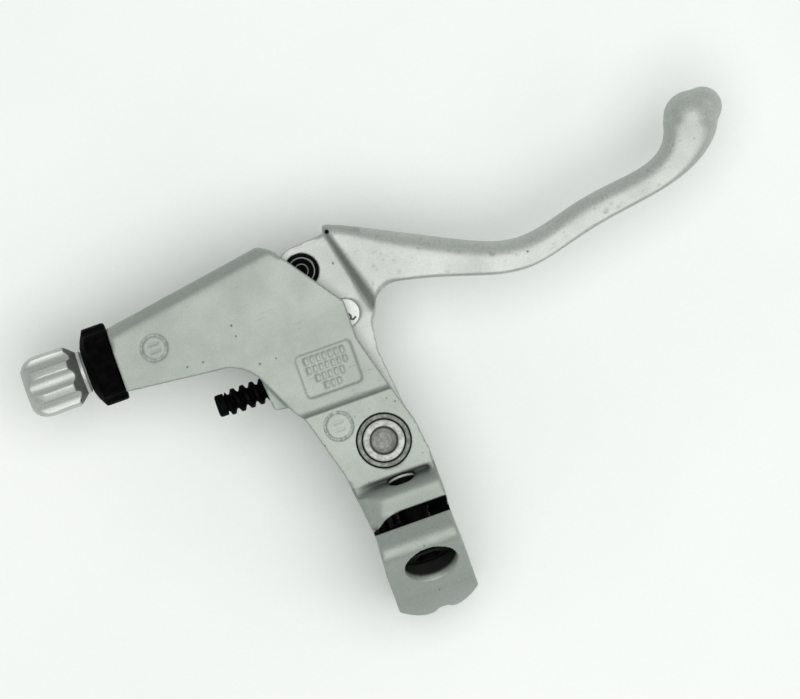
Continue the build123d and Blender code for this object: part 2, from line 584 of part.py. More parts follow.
# ---------------------------------------------------------------- reach adjustment
with BuildPart() as reach_screw:
    with BuildSketch(Plane(origin=REACH.origin)):
        Polygon((REACH_HEAD_X, 0), (REACH_HEAD_X, 1.9), (REACH_HEAD_X + 0.5, 2.25),
                (THREAD_START, 2.25), (THREAD_START, REACH_CORE_R), (REACH_FOOT, REACH_CORE_R),
                (REACH_FOOT, 0), align=None)
    revolve(axis=Axis(REACH.origin, (1, 0, 0)))
    ridges = int((REACH_FOOT - THREAD_START) / REACH_PITCH)
    for ridge in range(ridges):
        middle = THREAD_START + REACH_PITCH * (ridge + 0.5)
        with BuildSketch(Plane(origin=REACH.origin)):
            Polygon((middle - 0.85, REACH_CORE_R - 0.2), (middle - 0.3, REACH_R),
                    (middle + 0.3, REACH_R), (middle + 0.85, REACH_CORE_R - 0.2), align=None)
        revolve(axis=Axis(REACH.origin, (1, 0, 0)))
    with BuildSketch(REACH.offset(REACH_HEAD_X)):
        RegularPolygon(1.0, 6, major_radius=False)
    extrude(amount=2.0, mode=Mode.SUBTRACT)
    with BuildSketch(REACH.offset(REACH_FOOT)):
        Circle(TENON_R + FIT)
    extrude(amount=-2.4, mode=Mode.SUBTRACT)
save(reach_screw.part, "reach_screw")

with BuildPart() as reach_tip:
    with BuildSketch(REACH.offset(REACH_FOOT + 0.05)):
        Circle(1.5)
    extrude(amount=REACH_TIP_X - REACH_FOOT - 0.1)
    chamfer(reach_tip.edges().group_by(Axis.X)[-1], 0.3)
    with BuildSketch(REACH.offset(REACH_FOOT - 2.2)):
        Circle(TENON_R)
    extrude(amount=2.4)
save(reach_tip.part, "reach_tip")
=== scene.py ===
"""Looks of a two-finger bicycle brake lever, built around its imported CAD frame.

Metres, in the CAD's own frame: origin at the centre of the handlebar bore, +X along the bar
towards the blade's tip, +Y forward, +Z parallel to the lever's pivot.
"""

import json
import math
import random

import bmesh
import bpy
import numpy as np
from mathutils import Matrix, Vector

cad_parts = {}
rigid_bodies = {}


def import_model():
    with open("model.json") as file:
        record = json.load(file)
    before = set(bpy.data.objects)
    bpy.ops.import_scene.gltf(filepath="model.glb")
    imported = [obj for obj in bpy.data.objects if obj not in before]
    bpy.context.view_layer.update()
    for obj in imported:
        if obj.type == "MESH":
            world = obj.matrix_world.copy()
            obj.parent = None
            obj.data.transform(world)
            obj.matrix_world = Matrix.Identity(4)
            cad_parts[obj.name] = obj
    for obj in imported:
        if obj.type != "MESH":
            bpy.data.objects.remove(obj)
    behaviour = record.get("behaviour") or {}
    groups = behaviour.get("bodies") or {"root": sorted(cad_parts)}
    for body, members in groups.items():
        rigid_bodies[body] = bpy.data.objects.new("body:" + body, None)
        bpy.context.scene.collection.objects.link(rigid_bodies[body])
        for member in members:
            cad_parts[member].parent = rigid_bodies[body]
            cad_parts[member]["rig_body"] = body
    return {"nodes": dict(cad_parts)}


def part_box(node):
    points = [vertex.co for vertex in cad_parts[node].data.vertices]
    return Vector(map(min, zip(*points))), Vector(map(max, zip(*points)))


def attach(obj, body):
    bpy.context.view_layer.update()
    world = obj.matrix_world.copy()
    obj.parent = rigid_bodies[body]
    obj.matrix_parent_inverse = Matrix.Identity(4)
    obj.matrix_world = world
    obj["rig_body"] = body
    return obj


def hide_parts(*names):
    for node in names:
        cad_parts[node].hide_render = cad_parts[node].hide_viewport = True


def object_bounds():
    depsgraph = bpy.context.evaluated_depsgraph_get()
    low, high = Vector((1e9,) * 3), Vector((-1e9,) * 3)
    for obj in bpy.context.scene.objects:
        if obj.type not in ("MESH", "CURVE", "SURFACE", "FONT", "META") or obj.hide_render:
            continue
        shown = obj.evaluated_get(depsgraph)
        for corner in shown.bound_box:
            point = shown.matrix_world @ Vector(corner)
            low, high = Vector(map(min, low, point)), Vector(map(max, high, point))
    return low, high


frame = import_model()
cad_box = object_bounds()
scene = bpy.context.scene
MM = 0.001

# ---------------------------------------------------------------- places read from the frame
AXLE_LOW, AXLE_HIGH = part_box("pivot_axle")
PIVOT = (AXLE_LOW + AXLE_HIGH) / 2          # centre of the pivot's axle
KNOB_LOW, KNOB_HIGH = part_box("adjuster_barrel")
SCREW_LOW, SCREW_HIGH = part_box("reach_screw")


# ---------------------------------------------------------------- materials
class Finish:
    """A node material whose patterns are laid out in millimetres on the object itself."""

    def __init__(self, name, roughness, metallic=0.0, **sockets):
        self.material = bpy.data.materials.new(name)
        self.material.use_nodes = True
        self.tree = self.material.node_tree
        self.shader = self.tree.nodes["Principled BSDF"]
        self.shader.inputs["Metallic"].default_value = metallic
        self.shader.inputs["Roughness"].default_value = roughness
        for socket, value in sockets.items():
            self.shader.inputs[socket.replace("_", " ")].default_value = value
        coordinates = self.tree.nodes.new("ShaderNodeTexCoord").outputs["Object"]
        self.place = self.scaled(coordinates, (1 / MM,) * 3)
        self.normal = None

    def put(self, target, value):
        """Links a socket, or sets a number or colour."""
        if isinstance(value, bpy.types.NodeSocket):
            self.tree.links.new(value, target)
        elif hasattr(value, "__len__") and len(value) == 3 and target.type == "RGBA":
            target.default_value = (*value, 1)
        else:
            target.default_value = value

    def scaled(self, vector, factors):
        node = self.tree.nodes.new("ShaderNodeVectorMath")
        node.operation = "MULTIPLY"
        self.put(node.inputs[0], vector)
        self.put(node.inputs[1], factors)
        return node.outputs[0]

    def noise(self, per_mm, detail=2.0, stretch=(1, 1, 1), roughness=0.5, distortion=0.0):
        node = self.tree.nodes.new("ShaderNodeTexNoise")
        self.put(node.inputs["Vector"], self.scaled(self.place, stretch))
        self.put(node.inputs["Scale"], per_mm)
        self.put(node.inputs["Detail"], detail)
        self.put(node.inputs["Roughness"], roughness)
        self.put(node.inputs["Distortion"], distortion)
        return node.outputs["Fac"]

    def cells(self, per_mm):
        """Distance to the nearest of many scattered points."""
        node = self.tree.nodes.new("ShaderNodeTexVoronoi")
        self.put(node.inputs["Vector"], self.place)
        self.put(node.inputs["Scale"], per_mm)
        return node.outputs["Distance"]

    def between(self, value, low, high, start=0.0, end=1.0):
        """Rises from start to end as value goes from low to high."""
        node = self.tree.nodes.new("ShaderNodeMapRange")
        node.interpolation_type = "SMOOTHSTEP"
        for socket, number in zip(node.inputs, (value, low, high, start, end)):
            self.put(socket, number)
        return node.outputs[0]

    def combine(self, operation, a, b):
        node = self.tree.nodes.new("ShaderNodeMath")
        node.operation = operation
        self.put(node.inputs[0], a)
        self.put(node.inputs[1], b)
        return node.outputs[0]

    def blend(self, factor, a, b, mode="MIX"):
        node = self.tree.nodes.new("ShaderNodeMix")
        node.data_type = "RGBA"
        node.blend_type = mode
        self.put(node.inputs[0], factor)
        self.put(node.inputs[6], a)
        self.put(node.inputs[7], b)
        return node.outputs[2]

    def stored(self, name):
        """A number that the piece's own vertices carry."""
        node = self.tree.nodes.new("ShaderNodeAttribute")
        node.attribute_name = name
        return node.outputs["Fac"]

    def edges(self, low, high):
        """1 where the surface stands out from its smoothed self by high, in millimetres."""
        return self.between(self.stored("ridge"), low, high)

    def bump(self, height, depth_mm):
        node = self.tree.nodes.new("ShaderNodeBump")
        self.put(node.inputs["Height"], height)
        node.inputs["Distance"].default_value = depth_mm * MM
        if self.normal:
            self.put(node.inputs["Normal"], self.normal)
        self.normal = node.outputs["Normal"]

    def done(self, colour, roughness=None):
        self.put(self.shader.inputs["Base Color"], colour)
        if roughness is not None:
            self.put(self.shader.inputs["Roughness"], roughness)
        if self.normal:
            self.put(self.shader.inputs["Normal"], self.normal)
        return self.material


METAL_SHARE = 0.45      # the silver reads as part mirror, part pale dull binder
PIT_DARK = (0.09, 0.095, 0.09)
SCRATCH_DARK = (0.30, 0.32, 0.30)
CREASE_DARK = (0.10, 0.105, 0.10)
RUBBED_PALE = (0.72, 0.74, 0.72)
KNOCK_DARK = (0.15, 0.155, 0.15)
# painted shade: near black, for counterbores, slits, gaps and other hollows
PAINTED_SHADE_COLOUR = (0.0015, 0.0015, 0.0015)
WHITE = (1.0, 1.0, 1.0)


def aluminium(name, bright, dull, grain_per_mm, grain_mm, roughness):
    """Satin silver alloy: fine speckle, cloudy patches, pits, scratches, rubbed edges and darker
    creases, with painted shade in its hollows and gaps.
    """
    finish = Finish(name, roughness, METAL_SHARE, IOR=1.5)
    speckle = finish.noise(grain_per_mm, 3.0)
    cloud = finish.noise(0.07, 4.0, roughness=0.6)
    colour = finish.blend(finish.between(cloud, 0.35, 0.68), dull, bright)
    shade = finish.between(speckle, 0.3, 0.72, 0.90, 1.10)
    colour = finish.blend(1.0, colour, shade, "MULTIPLY")
    # pits, each dark with a soft rim, only where a second pattern lets them through
    pits = finish.between(finish.cells(0.42), 0.05, 0.13, 1.0, 0.0)
    pits = finish.combine("MULTIPLY", pits, finish.between(finish.noise(0.16), 0.53, 0.60))
    scratch = finish.between(finish.noise(1.0, 1.0, (0.22, 6.0, 2.0), distortion=0.6), 0.70, 0.76)
    scratch = finish.combine("MULTIPLY", scratch, finish.between(finish.noise(0.10), 0.50, 0.62))
    rubbed = finish.edges(0.05, 0.22)
    # darker in creases and concave corners
    crease_dark = finish.edges(-0.04, -0.22)
    painted_shade = finish.between(finish.stored("painted_shade"), 0.0, 1.0)
    knock = finish.stored("knock")
    colour = finish.blend(finish.combine("MULTIPLY", pits, 0.75), colour, PIT_DARK)
    colour = finish.blend(finish.combine("MULTIPLY", scratch, 0.35), colour, SCRATCH_DARK)
    colour = finish.blend(finish.combine("MULTIPLY", crease_dark, 0.6), colour, CREASE_DARK)
    colour = finish.blend(finish.combine("MULTIPLY", rubbed, 0.30), colour, RUBBED_PALE)
    colour = finish.blend(finish.combine("MULTIPLY", knock, 0.30), colour, KNOCK_DARK)
    # painted shade, near black, where the piece carries it
    colour = finish.blend(painted_shade, colour, PAINTED_SHADE_COLOUR)
    # painted shade also takes away the metal's reflection
    finish.put(finish.shader.inputs["Metallic"], finish.between(painted_shade, 0.2, 1.0, METAL_SHARE, 0.0))
    finish.put(finish.shader.inputs["Specular IOR Level"],
               finish.between(painted_shade, 0.2, 1.0, 0.5, 0.0))
    rough = finish.between(cloud, 0.3, 0.7, roughness + 0.05, roughness - 0.04)
    rough = finish.combine("ADD", rough, finish.between(speckle, 0.3, 0.7, -0.04, 0.04))
    rough = finish.combine("SUBTRACT", rough, finish.combine("MULTIPLY", rubbed, 0.12))
    finish.bump(speckle, grain_mm)
    finish.bump(finish.combine("ADD", pits, finish.combine("MULTIPLY", scratch, 0.3)), -0.06)
    return finish.done(colour, rough)


def steel(name, bright, dull, roughness, ring_mm=0.0):
    """Plated steel with faint turning marks, fine stains and a fine grain."""
    finish = Finish(name, roughness, 1.0)
    stain = finish.noise(0.9, 4.0, roughness=0.62)
    fine = finish.noise(9.0, 2.0)
    colour = finish.blend(finish.between(stain, 0.38, 0.66), dull, bright)
    # darker in creases
    colour = finish.blend(finish.combine("MULTIPLY", finish.edges(-0.02, -0.12), 0.6), colour,
                          (0.06, 0.06, 0.055))
    # painted shade, near black, where the piece carries it
    colour = finish.blend(finish.stored("painted_shade"), colour, (0.010, 0.010, 0.009))
    rough = finish.between(stain, 0.3, 0.7, roughness + 0.10, roughness - 0.06)
    finish.bump(fine, 0.012)
    if ring_mm:
        finish.bump(finish.noise(14.0, 1.0, (0.05, 1, 1)), ring_mm)
    return finish.done(colour, rough)


PALE_MARK_COLOUR = (0.62, 0.64, 0.62)          # pale grey: black rubbed through at the bolt's tip, and pale rings on the hook's end


def black(name, colour, worn, roughness, grain_per_mm, grain_mm, wear, metallic=0.0):
    """Black oxide or moulded plastic: grain, dusty patches and paler rubbed edges."""
    finish = Finish(name, roughness, metallic, Specular_IOR_Level=0.025)
    grain = finish.noise(grain_per_mm, 3.0)
    patch = finish.noise(0.45, 4.0, roughness=0.6)
    shade = finish.blend(finish.between(patch, 0.40, 0.70), colour,
                         [channel * 1.8 + 0.001 for channel in colour])
    rubbed = finish.combine("MULTIPLY", finish.edges(0.04, 0.18),
                        finish.between(finish.noise(0.8, 3.0), 0.38, 0.62))
    shade = finish.blend(finish.combine("MULTIPLY", rubbed, wear), shade, worn)
    shade = finish.blend(finish.stored("pale_mark"), shade, PALE_MARK_COLOUR)
    rough = finish.between(patch, 0.3, 0.7, roughness + 0.07, roughness - 0.07)
    finish.bump(grain, grain_mm)
    return finish.done(shade, rough)


def nylon():
    """White moulded nylon, a little translucent, darker in its corners."""
    finish = Finish("white_nylon_moulded", 0.42, 0.0, Subsurface_Weight=0.12,
                    Subsurface_Scale=0.0012)
    patch = finish.noise(0.8, 3.0)
    colour = finish.blend(finish.between(patch, 0.35, 0.68), (0.74, 0.75, 0.72), (0.84, 0.85, 0.83))
    # darker in its corners
    corner_dark = finish.combine("MULTIPLY", finish.edges(-0.02, -0.12), 0.5)
    colour = finish.blend(corner_dark, colour, (0.30, 0.29, 0.27))
    colour = finish.blend(finish.stored("mark"), colour, (0.004, 0.004, 0.004))
    finish.bump(finish.noise(7.0, 2.0), 0.015)
    return finish.done(colour, finish.between(patch, 0.3, 0.7, 0.36, 0.50))


def bronze():
    """Sintered bronze with fine pores."""
    finish = Finish("bronze_sintered", 0.42, 1.0)
    pores = finish.cells(3.0)
    colour = finish.blend(finish.between(finish.noise(0.7, 3.0), 0.35, 0.65),
                          (0.36, 0.22, 0.10), (0.56, 0.37, 0.19))
    colour = finish.blend(finish.between(pores, 0.08, 0.2, 0.6, 0.0), colour, (0.08, 0.05, 0.03))
    finish.bump(pores, 0.02)
    return finish.done(colour)


def paper():
    """Pale matt paper, with the faintest clouding."""
    finish = Finish("pale_floor", 0.9, 0.0, Specular_IOR_Level=0.1)
    cloud = finish.noise(0.012, 4.0)
    fibre = finish.noise(1.6, 3.0)
    colour = finish.blend(finish.between(cloud, 0.3, 0.7), (0.86, 0.885, 0.872), (0.90, 0.915, 0.905))
    colour = finish.blend(1.0, colour, finish.between(fibre, 0.3, 0.7, 0.985, 1.0), "MULTIPLY")
    finish.bump(fibre, 0.02)
    return finish.done(colour)


CAST = aluminium("cast_silver", (0.325, 0.352, 0.322), (0.309, 0.336, 0.308), 3.6, 0.030, 0.50)
BLADE = aluminium("blade_silver", (0.44, 0.462, 0.435), (0.405, 0.428, 0.402), 2.6, 0.012, 0.47)
KNOB = aluminium("knob_silver", (0.50, 0.525, 0.495), (0.45, 0.475, 0.447), 3.2, 0.02, 0.44)
STEEL = steel("bright_zinc", (0.345, 0.362, 0.34), (0.29, 0.305, 0.282), 0.52, 0.006)
DULL_STEEL = steel("dull_zinc", (0.168, 0.181, 0.164), (0.13, 0.14, 0.126), 0.50, 0.006)
WIRE = steel("spring_wire", (0.50, 0.51, 0.50), (0.30, 0.30, 0.29), 0.34)
OXIDE = black("black_oxide", (0.0012, 0.0012, 0.0012), (0.03, 0.03, 0.03), 0.5, 5.0, 0.02, 0.3)
PLASTIC = black("black_moulded", (0.0008, 0.0008, 0.0009), (0.012, 0.012, 0.012), 0.66, 4.0, 0.03,
                0.4)
HOOK_PLASTIC = black("hook_moulded", (0.0012, 0.0012, 0.0013), (0.10, 0.10, 0.10), 0.6, 4.0, 0.02,
                     1.0)
NYLON = nylon()
BRONZE = bronze()


# ---------------------------------------------------------------- piece makers
RIDGE_VOXEL = 0.27       # a skin of this voxel, in mm, is smoothed this often to find its ridges
RIDGE_ROUNDS = 14
RIDGE_ROUNDS_LEAST = 4
WELD = 1e-6              # vertices nearer than this, in metres, are one


def link(name, mesh, finish, body):
    """A piece that rides on a body and fills a material slot."""
    piece = bpy.data.objects.new(name, mesh)
    scene.collection.objects.link(piece)
    mesh.materials.clear()
    mesh.materials.append(finish)
    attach(piece, body)
    return piece


def apply_modifiers(piece):
    """The piece's mesh becomes what its modifiers make of it."""
    graph = bpy.context.evaluated_depsgraph_get()
    graph.update()
    made = bpy.data.meshes.new_from_object(piece.evaluated_get(graph))
    piece.modifiers.clear()
    old, piece.data = piece.data, made
    bpy.data.meshes.remove(old)


def soften(piece, rounds):
    """Rounds off the whole piece a little, as casting and tumbling do."""
    smooth = piece.modifiers.new("soften", "SMOOTH")
    smooth.factor = 0.5
    smooth.iterations = rounds
    apply_modifiers(piece)


def rows_of(mesh, field):
    """One row of three numbers a vertex: its place ("co") or its normal ("normal")."""
    numbers = np.empty(len(mesh.vertices) * 3, np.float32)
    mesh.vertices.foreach_get(field, numbers)
    return numbers.reshape(-1, 3)


def rise(values, low, high):
    """0 below low, 1 above high, and smooth between."""
    share = np.clip((values - low) / (high - low), 0, 1)
    return share * share * (3 - 2 * share)


def off_line(spots, start, end):
    """How far each place lies from the line through two points, in X and Y."""
    along = (end - start) / np.linalg.norm(end - start)
    return abs((spots[:, 0] - start[0]) * along[1] - (spots[:, 1] - start[1]) * along[0])


def off_point(spots, point):
    """How far each place lies from a point, in X and Y."""
    return np.hypot(spots[:, 0] - point[0], spots[:, 1] - point[1])


def store(piece, name, mask):
    """Each vertex keeps a number from 0 to 1, such as how much painted shade it carries."""
    values = np.clip(mask, 0, 1).astype(np.float32)
    piece.data.attributes.new(name, "FLOAT", "POINT").data.foreach_set("value", values)


def from_pivot(piece):
    """Each vertex's distance from the pivot's axis, in millimetres."""
    places = rows_of(piece.data, "co")
    return np.hypot(places[:, 0] - PIVOT.x, places[:, 1] - PIVOT.y) / MM


def store_ridges(piece, rounds):
    """Each vertex keeps how far it stands out from a smoother copy, in millimetres."""
    sharp = rows_of(piece.data, "co")
    copy = piece.copy()
    copy.data = piece.data.copy()
    scene.collection.objects.link(copy)
    soften(copy, rounds)
    smooth = rows_of(copy.data, "co")
    smooth_mesh = copy.data
    bpy.data.objects.remove(copy)
    bpy.data.meshes.remove(smooth_mesh)
    ridge = ((sharp - smooth) * rows_of(piece.data, "normal")).sum(axis=1) / MM
    piece.data.attributes.new("ridge", "FLOAT", "POINT").data.foreach_set("value", ridge)


LEAST_WEIGHT = 0.01


def melt(piece, weights, rounds):
    """Rounds off the places that have a weight, as worn or cast edges are."""
    group = piece.vertex_groups.new(name="melt")
    for index in np.nonzero(weights > LEAST_WEIGHT)[0]:
        group.add([int(index)], float(weights[index]), "REPLACE")
    smooth = piece.modifiers.new("melt", "SMOOTH")
    smooth.factor = 0.5
    smooth.iterations = rounds
    smooth.vertex_group = group.name
    apply_modifiers(piece)
    piece.vertex_groups.clear()


def refined(node, name, voxel_mm, rounds, finish, melts=()):
    """A dense copy of a CAD node with softened edges, shown in that node's place."""
    source = frame["nodes"][node]
    mesh = source.data.copy()
    work = bmesh.new()
    work.from_mesh(mesh)
    bmesh.ops.remove_doubles(work, verts=work.verts, dist=WELD)
    work.to_mesh(mesh)
    work.free()
    piece = link(name, mesh, finish, source["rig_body"])
    remesh = piece.modifiers.new("skin", "REMESH")
    remesh.mode = "VOXEL"
    remesh.voxel_size = voxel_mm * MM
    apply_modifiers(piece)
    soften(piece, rounds)
    for weigh, melt_rounds in melts:
        melt(piece, weigh(rows_of(piece.data, "co") / MM), melt_rounds)
    store_ridges(piece, max(RIDGE_ROUNDS_LEAST, round(RIDGE_ROUNDS * (RIDGE_VOXEL / voxel_mm))))
    piece.data.shade_smooth()
    piece.data.materials.clear()
    piece.data.materials.append(finish)
    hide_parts(node)
    return piece


def restyled(node, finish):
    """A CAD node that keeps its own mesh and gets a finish."""
    for place in frame["nodes"][node].material_slots:
        place.material = finish


def knock(piece, centres, radius_range, depth_range, seed):
    """Small dents pressed in along the surface's normals; each vertex keeps how knocked it is."""
    rng = random.Random(seed)
    places = rows_of(piece.data, "co")
    normals = rows_of(piece.data, "normal")
    marked = np.zeros(len(places))
    moved = places.copy()
    for centre in centres:
        radius = rng.uniform(*radius_range) * MM
        depth = rng.uniform(*depth_range) * MM
        squash = rng.uniform(0.3, 1.0)
        turn = rng.uniform(0, math.pi)
        away = places - np.array(centre)
        along = away[:, 0] * math.cos(turn) + away[:, 1] * math.sin(turn)
        across = away[:, 1] * math.cos(turn) - away[:, 0] * math.sin(turn)
        share = np.sqrt(along ** 2 + (across / squash) ** 2 + away[:, 2] ** 2) / radius
        press = np.clip(1 - share ** 2, 0, 1) ** 2
        moved -= normals * (press * depth)[:, None]
        marked = np.maximum(marked, press)
    piece.data.vertices.foreach_set("co", moved.astype(np.float32).ravel())
    piece.data.update()
    store(piece, "knock", marked)


def screw_skin(name, stations, radius_at, turn_steps, finish, body, axis_point):
    """A skin round an X axis, whose radius depends on the place along it and on the angle."""
    work = bmesh.new()
    rings = []
    for x in stations:
        ring = []
        for step in range(turn_steps):
            angle = 2 * math.pi * step / turn_steps
            radius = radius_at(x, angle)
            ring.append(work.verts.new((x, axis_point.y + radius * math.cos(angle),
                                        axis_point.z + radius * math.sin(angle))))
        rings.append(ring)
    for ring, after in zip(rings, rings[1:]):
        for step in range(turn_steps):
            ahead = (step + 1) % turn_steps
            work.faces.new((ring[step], ring[ahead], after[ahead], after[step]))
    for ring, x in ((rings[0], stations[0]), (rings[-1], stations[-1])):
        centre = work.verts.new((x, axis_point.y, axis_point.z))
        for step in range(turn_steps):
            work.faces.new((ring[step], ring[(step + 1) % turn_steps], centre))
    bmesh.ops.recalc_face_normals(work, faces=work.faces)
    mesh = bpy.data.meshes.new(name)
    work.to_mesh(mesh)
    work.free()
    mesh.shade_smooth()
    return link(name, mesh, finish, body)


# ---------------------------------------------------------------- bracket (millimetres)
MID_Z = PIVOT.z / MM
BOLT_TILT = math.radians(15.5)           # the clamp bolt's lean
BOLT_REACH = 16.0                        # from the bar's centre to the bolt's axis
COUNTERBORE_R = 5.4
BOLT_SEAT = 3.4
BOLT_END = 9.0
SLIT_HALF = 1.7
# the slit's wall on the lug's side: place along the bar, and distance from the slit's middle
SLIT_NARROWS = ((-8.0, -1.1), (-6.6, 0.05), (-5.2, 0.85), (-3.4, 1.45), (-1.6, 1.7))
SLIT_FLOOR = 11.2                        # where the slit opens into the bar's bore
SLEEVE_R = 5.4
AXLE_HEAD_R = 4.3
DISH_R = 2.9
FRONT_START = np.array((-45.0, 60.7))    # ends of the sloping front edge, in X and Y
FRONT_END = np.array((-11.0, 66.1))
FRONT_Y = 55.0                           # the cheeks' edges further back stay crisp
SLOT_HALF = 3.4                          # half the gap between the cheeks
CLAMP_Z = 14.0                           # the clamp's crests lie above this
LUG_Y = 11.6
JAW_Y = -4.0
JAW_CREST = np.array((-1.7, 23.2))       # top and foot of the jaw's sloping face, in Y and Z
JAW_FOOT = np.array((-11.6, 8.9))
RIM_Y = 2.0                              # the counterbore's rim lies behind this
TROUGH_EDGE = (13.8, 16.0)               # the platform's edge over the trough, in Y and Z
TROUGH_Y = (11.0, 14.2)
TROUGH_Z = (13.0, 14.4, 17.4)            # its floor, and where its shade begins and ends to fade
# how dark the trough's painted shade is
TROUGH_DARK = 0.70
BORE_SKIN_R = 11.6                       # the bore's wall lies inside this radius
BORE_SHADE_Y = 4.2                             # the middle of the painted shade in the bore, under the slit
BORE_SHADE_DARK = 0.97
GAP_DARK = 0.95                          # painted shade in the gap between a sleeve and its cheek

bolt_low, bolt_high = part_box("clamp_bolt")
bolt_way = np.array((0.0, -math.cos(BOLT_TILT), math.sin(BOLT_TILT)))
up_way = np.array((0.0, math.sin(BOLT_TILT), math.cos(BOLT_TILT)))
bolt_foot = np.array(((bolt_low.x + bolt_high.x) / 2 / MM, 0, 0)) + up_way * BOLT_REACH


def about_bolt(spots):
    """How far along the bolt's axis and off it each place lies, in millimetres."""
    along = (spots - bolt_foot) @ bolt_way
    return along, np.linalg.norm(spots - bolt_foot - np.outer(along, bolt_way), axis=1)


def front_edge(spots):
    """Weight near the bracket's sloping front edge, on both cheeks."""
    near = 1 - rise(off_line(spots, FRONT_START, FRONT_END), 3.2, 5.0)
    return near * (abs(spots[:, 2] - MID_Z) > SLOT_HALF) * (spots[:, 1] > FRONT_Y)


def clamp_crests(spots):
    """Weight on the lug and jaw, and on the platform's edge over the trough."""
    along, off = about_bolt(spots)
    high = spots[:, 2] > CLAMP_Z
    lug = (1 - rise(along, -2.2, -2.0)) * (spots[:, 1] < LUG_Y) * high
    jaw = (along > 2.2) * (spots[:, 1] > JAW_Y) * (off > COUNTERBORE_R + 1.2) * high
    edge = np.hypot(spots[:, 1] - TROUGH_EDGE[0], spots[:, 2] - TROUGH_EDGE[1])
    return np.maximum.reduce([lug, jaw.astype(float), 1 - rise(edge, 1.6, 2.6)])


def counterbore_rim(spots):
    """Weight round the mouth of the bolt's counterbore."""
    along, off = about_bolt(spots)
    near = 1 - rise(abs(off - COUNTERBORE_R), 0.5, 1.0)
    return near * (spots[:, 1] < RIM_Y) * (along > BOLT_SEAT)


def bracket_painted_shade(bracket):
    """Painted shade, 0 to 1: how dark each place is painted in the counterbore, slit, trough, bore
    and the gap round a sleeve.
    """
    places = rows_of(bracket.data, "co") / MM
    along, off = about_bolt(places)
    jaw_run = (JAW_FOOT - JAW_CREST) / np.linalg.norm(JAW_FOOT - JAW_CREST)
    under_jaw = (places[:, 1:3] - JAW_CREST) @ np.array((-jaw_run[1], jaw_run[0]))
    counterbore = ((along > BOLT_SEAT - 0.4) * rise(under_jaw, 0.5, 1.7)
                   * (1 - rise(off, COUNTERBORE_R - 0.1, COUNTERBORE_R + 0.3)))
    lug_wall = np.interp(places[:, 0], *zip(*SLIT_NARROWS))
    slit = ((places @ up_way > SLIT_FLOOR) * (1 - rise(along, SLIT_HALF - 0.02, SLIT_HALF + 0.25))
            * (1 - rise(-along - lug_wall, -0.02, 0.25)))
    trough = ((places[:, 1] > TROUGH_Y[0]) * (places[:, 1] < TROUGH_Y[1])
              * (places[:, 2] > TROUGH_Z[0]) * (1 - rise(places[:, 2], *TROUGH_Z[1:])) * TROUGH_DARK)
    bore_shade = ((np.hypot(places[:, 1], places[:, 2]) < BORE_SKIN_R) * (places[:, 2] < 0)
                 * (1 - rise(abs(places[:, 1] - BORE_SHADE_Y), 1.4, 2.6)) * BORE_SHADE_DARK)
    gap = (1 - rise(from_pivot(bracket), SLEEVE_R + 0.10, SLEEVE_R + 0.32)) * GAP_DARK
    return np.maximum.reduce([counterbore, slit, trough, bore_shade, gap])


bracket = refined("bracket", "bracket_casting", 0.25, 4, CAST,
                  ((front_edge, 90), (clamp_crests, 45), (counterbore_rim, 14)))
# painted shade in the bracket's hollows and gaps
store(bracket, "painted_shade", bracket_painted_shade(bracket))

# ---------------------------------------------------------------- blade (millimetres)
TIP_SPAN = (73.5, 80.5)                  # where the blade's tip begins to round off, along X
ROOT_FRONT = np.array((2.8, 65.8))       # corners of the blade's root, in X and Y
ROOT_REAR = np.array((8.2, 48.6))
ROOT_PIT = (3.2, 64.2)
ROOT_X = 9.5                             # the root's wall lies before this and in front of ROOT_Y
ROOT_Y = 44.0
WALL_SHADE = (0.30, 0.10)                # the wall's shade at its front, and what it gains
PIT_DARK_SHARE = 0.95
NICKS = 60
NICK_SPAN = (8.0, 76.0)                  # nicks lie between these, along X
NICK_RADIUS = (0.35, 0.75)
NICK_DEPTH = (0.05, 0.12)
NICK_LEVEL = 4.6                         # and above this, from the blade's middle


def blade_tip(spots):
    """Weight towards the blade's tip."""
    return rise(spots[:, 0], *TIP_SPAN)


def blade_root(spots):
    """Weight at the root's two corners and along the wall between them, on the near side."""
    front = 1 - rise(off_point(spots, ROOT_FRONT), 2.0, 3.6)
    rear = 1 - rise(off_point(spots, ROOT_REAR), 3.5, 6.5)
    down = (spots[:, 1] - ROOT_FRONT[1]) / (ROOT_REAR[1] - ROOT_FRONT[1])
    wall = 1 - rise(off_line(spots, ROOT_FRONT, ROOT_REAR), 0.8, 2.4)
    return np.maximum.reduce([front, rear, wall * np.clip(down, 0, 1) * (down < 1.25)])


def blade_painted_shade(spots):
    """How dark each place is painted as shade: the root's wall, darker towards its rear, and a pit at
    its front corner.
    """
    level = spots[:, 2] - MID_Z
    down_wall = np.clip((ROOT_FRONT[1] - spots[:, 1]) / (ROOT_FRONT[1] - ROOT_REAR[1]), 0, 1)
    wall = (rise(level, 4.1, 4.8) * (1 - rise(level, 6.2, 7.2)) * (spots[:, 0] < ROOT_X)
            * (spots[:, 1] > ROOT_Y) * (WALL_SHADE[0] + WALL_SHADE[1] * down_wall))
    pit = (1 - rise(off_point(spots, ROOT_PIT), 0.3, 0.7)) * (level > 3.0)
    return np.maximum(wall, pit * PIT_DARK_SHARE)


blade = refined("lever_blade", "blade_casting", 0.28, 3, BLADE,
                ((blade_tip, 60), (blade_root, 45)))
rng = random.Random(11)
blade_spots = rows_of(blade.data, "co")
# painted shade on the blade's root
store(blade, "painted_shade", blade_painted_shade(blade_spots / MM))
near_side = blade_spots[(blade_spots[:, 2] > PIVOT.z + NICK_LEVEL * MM)
                        & (blade_spots[:, 0] > NICK_SPAN[0] * MM)
                        & (blade_spots[:, 0] < NICK_SPAN[1] * MM)]
knock(blade, [near_side[rng.randrange(len(near_side))] for _ in range(NICKS)],
      NICK_RADIUS, NICK_DEPTH, 5)

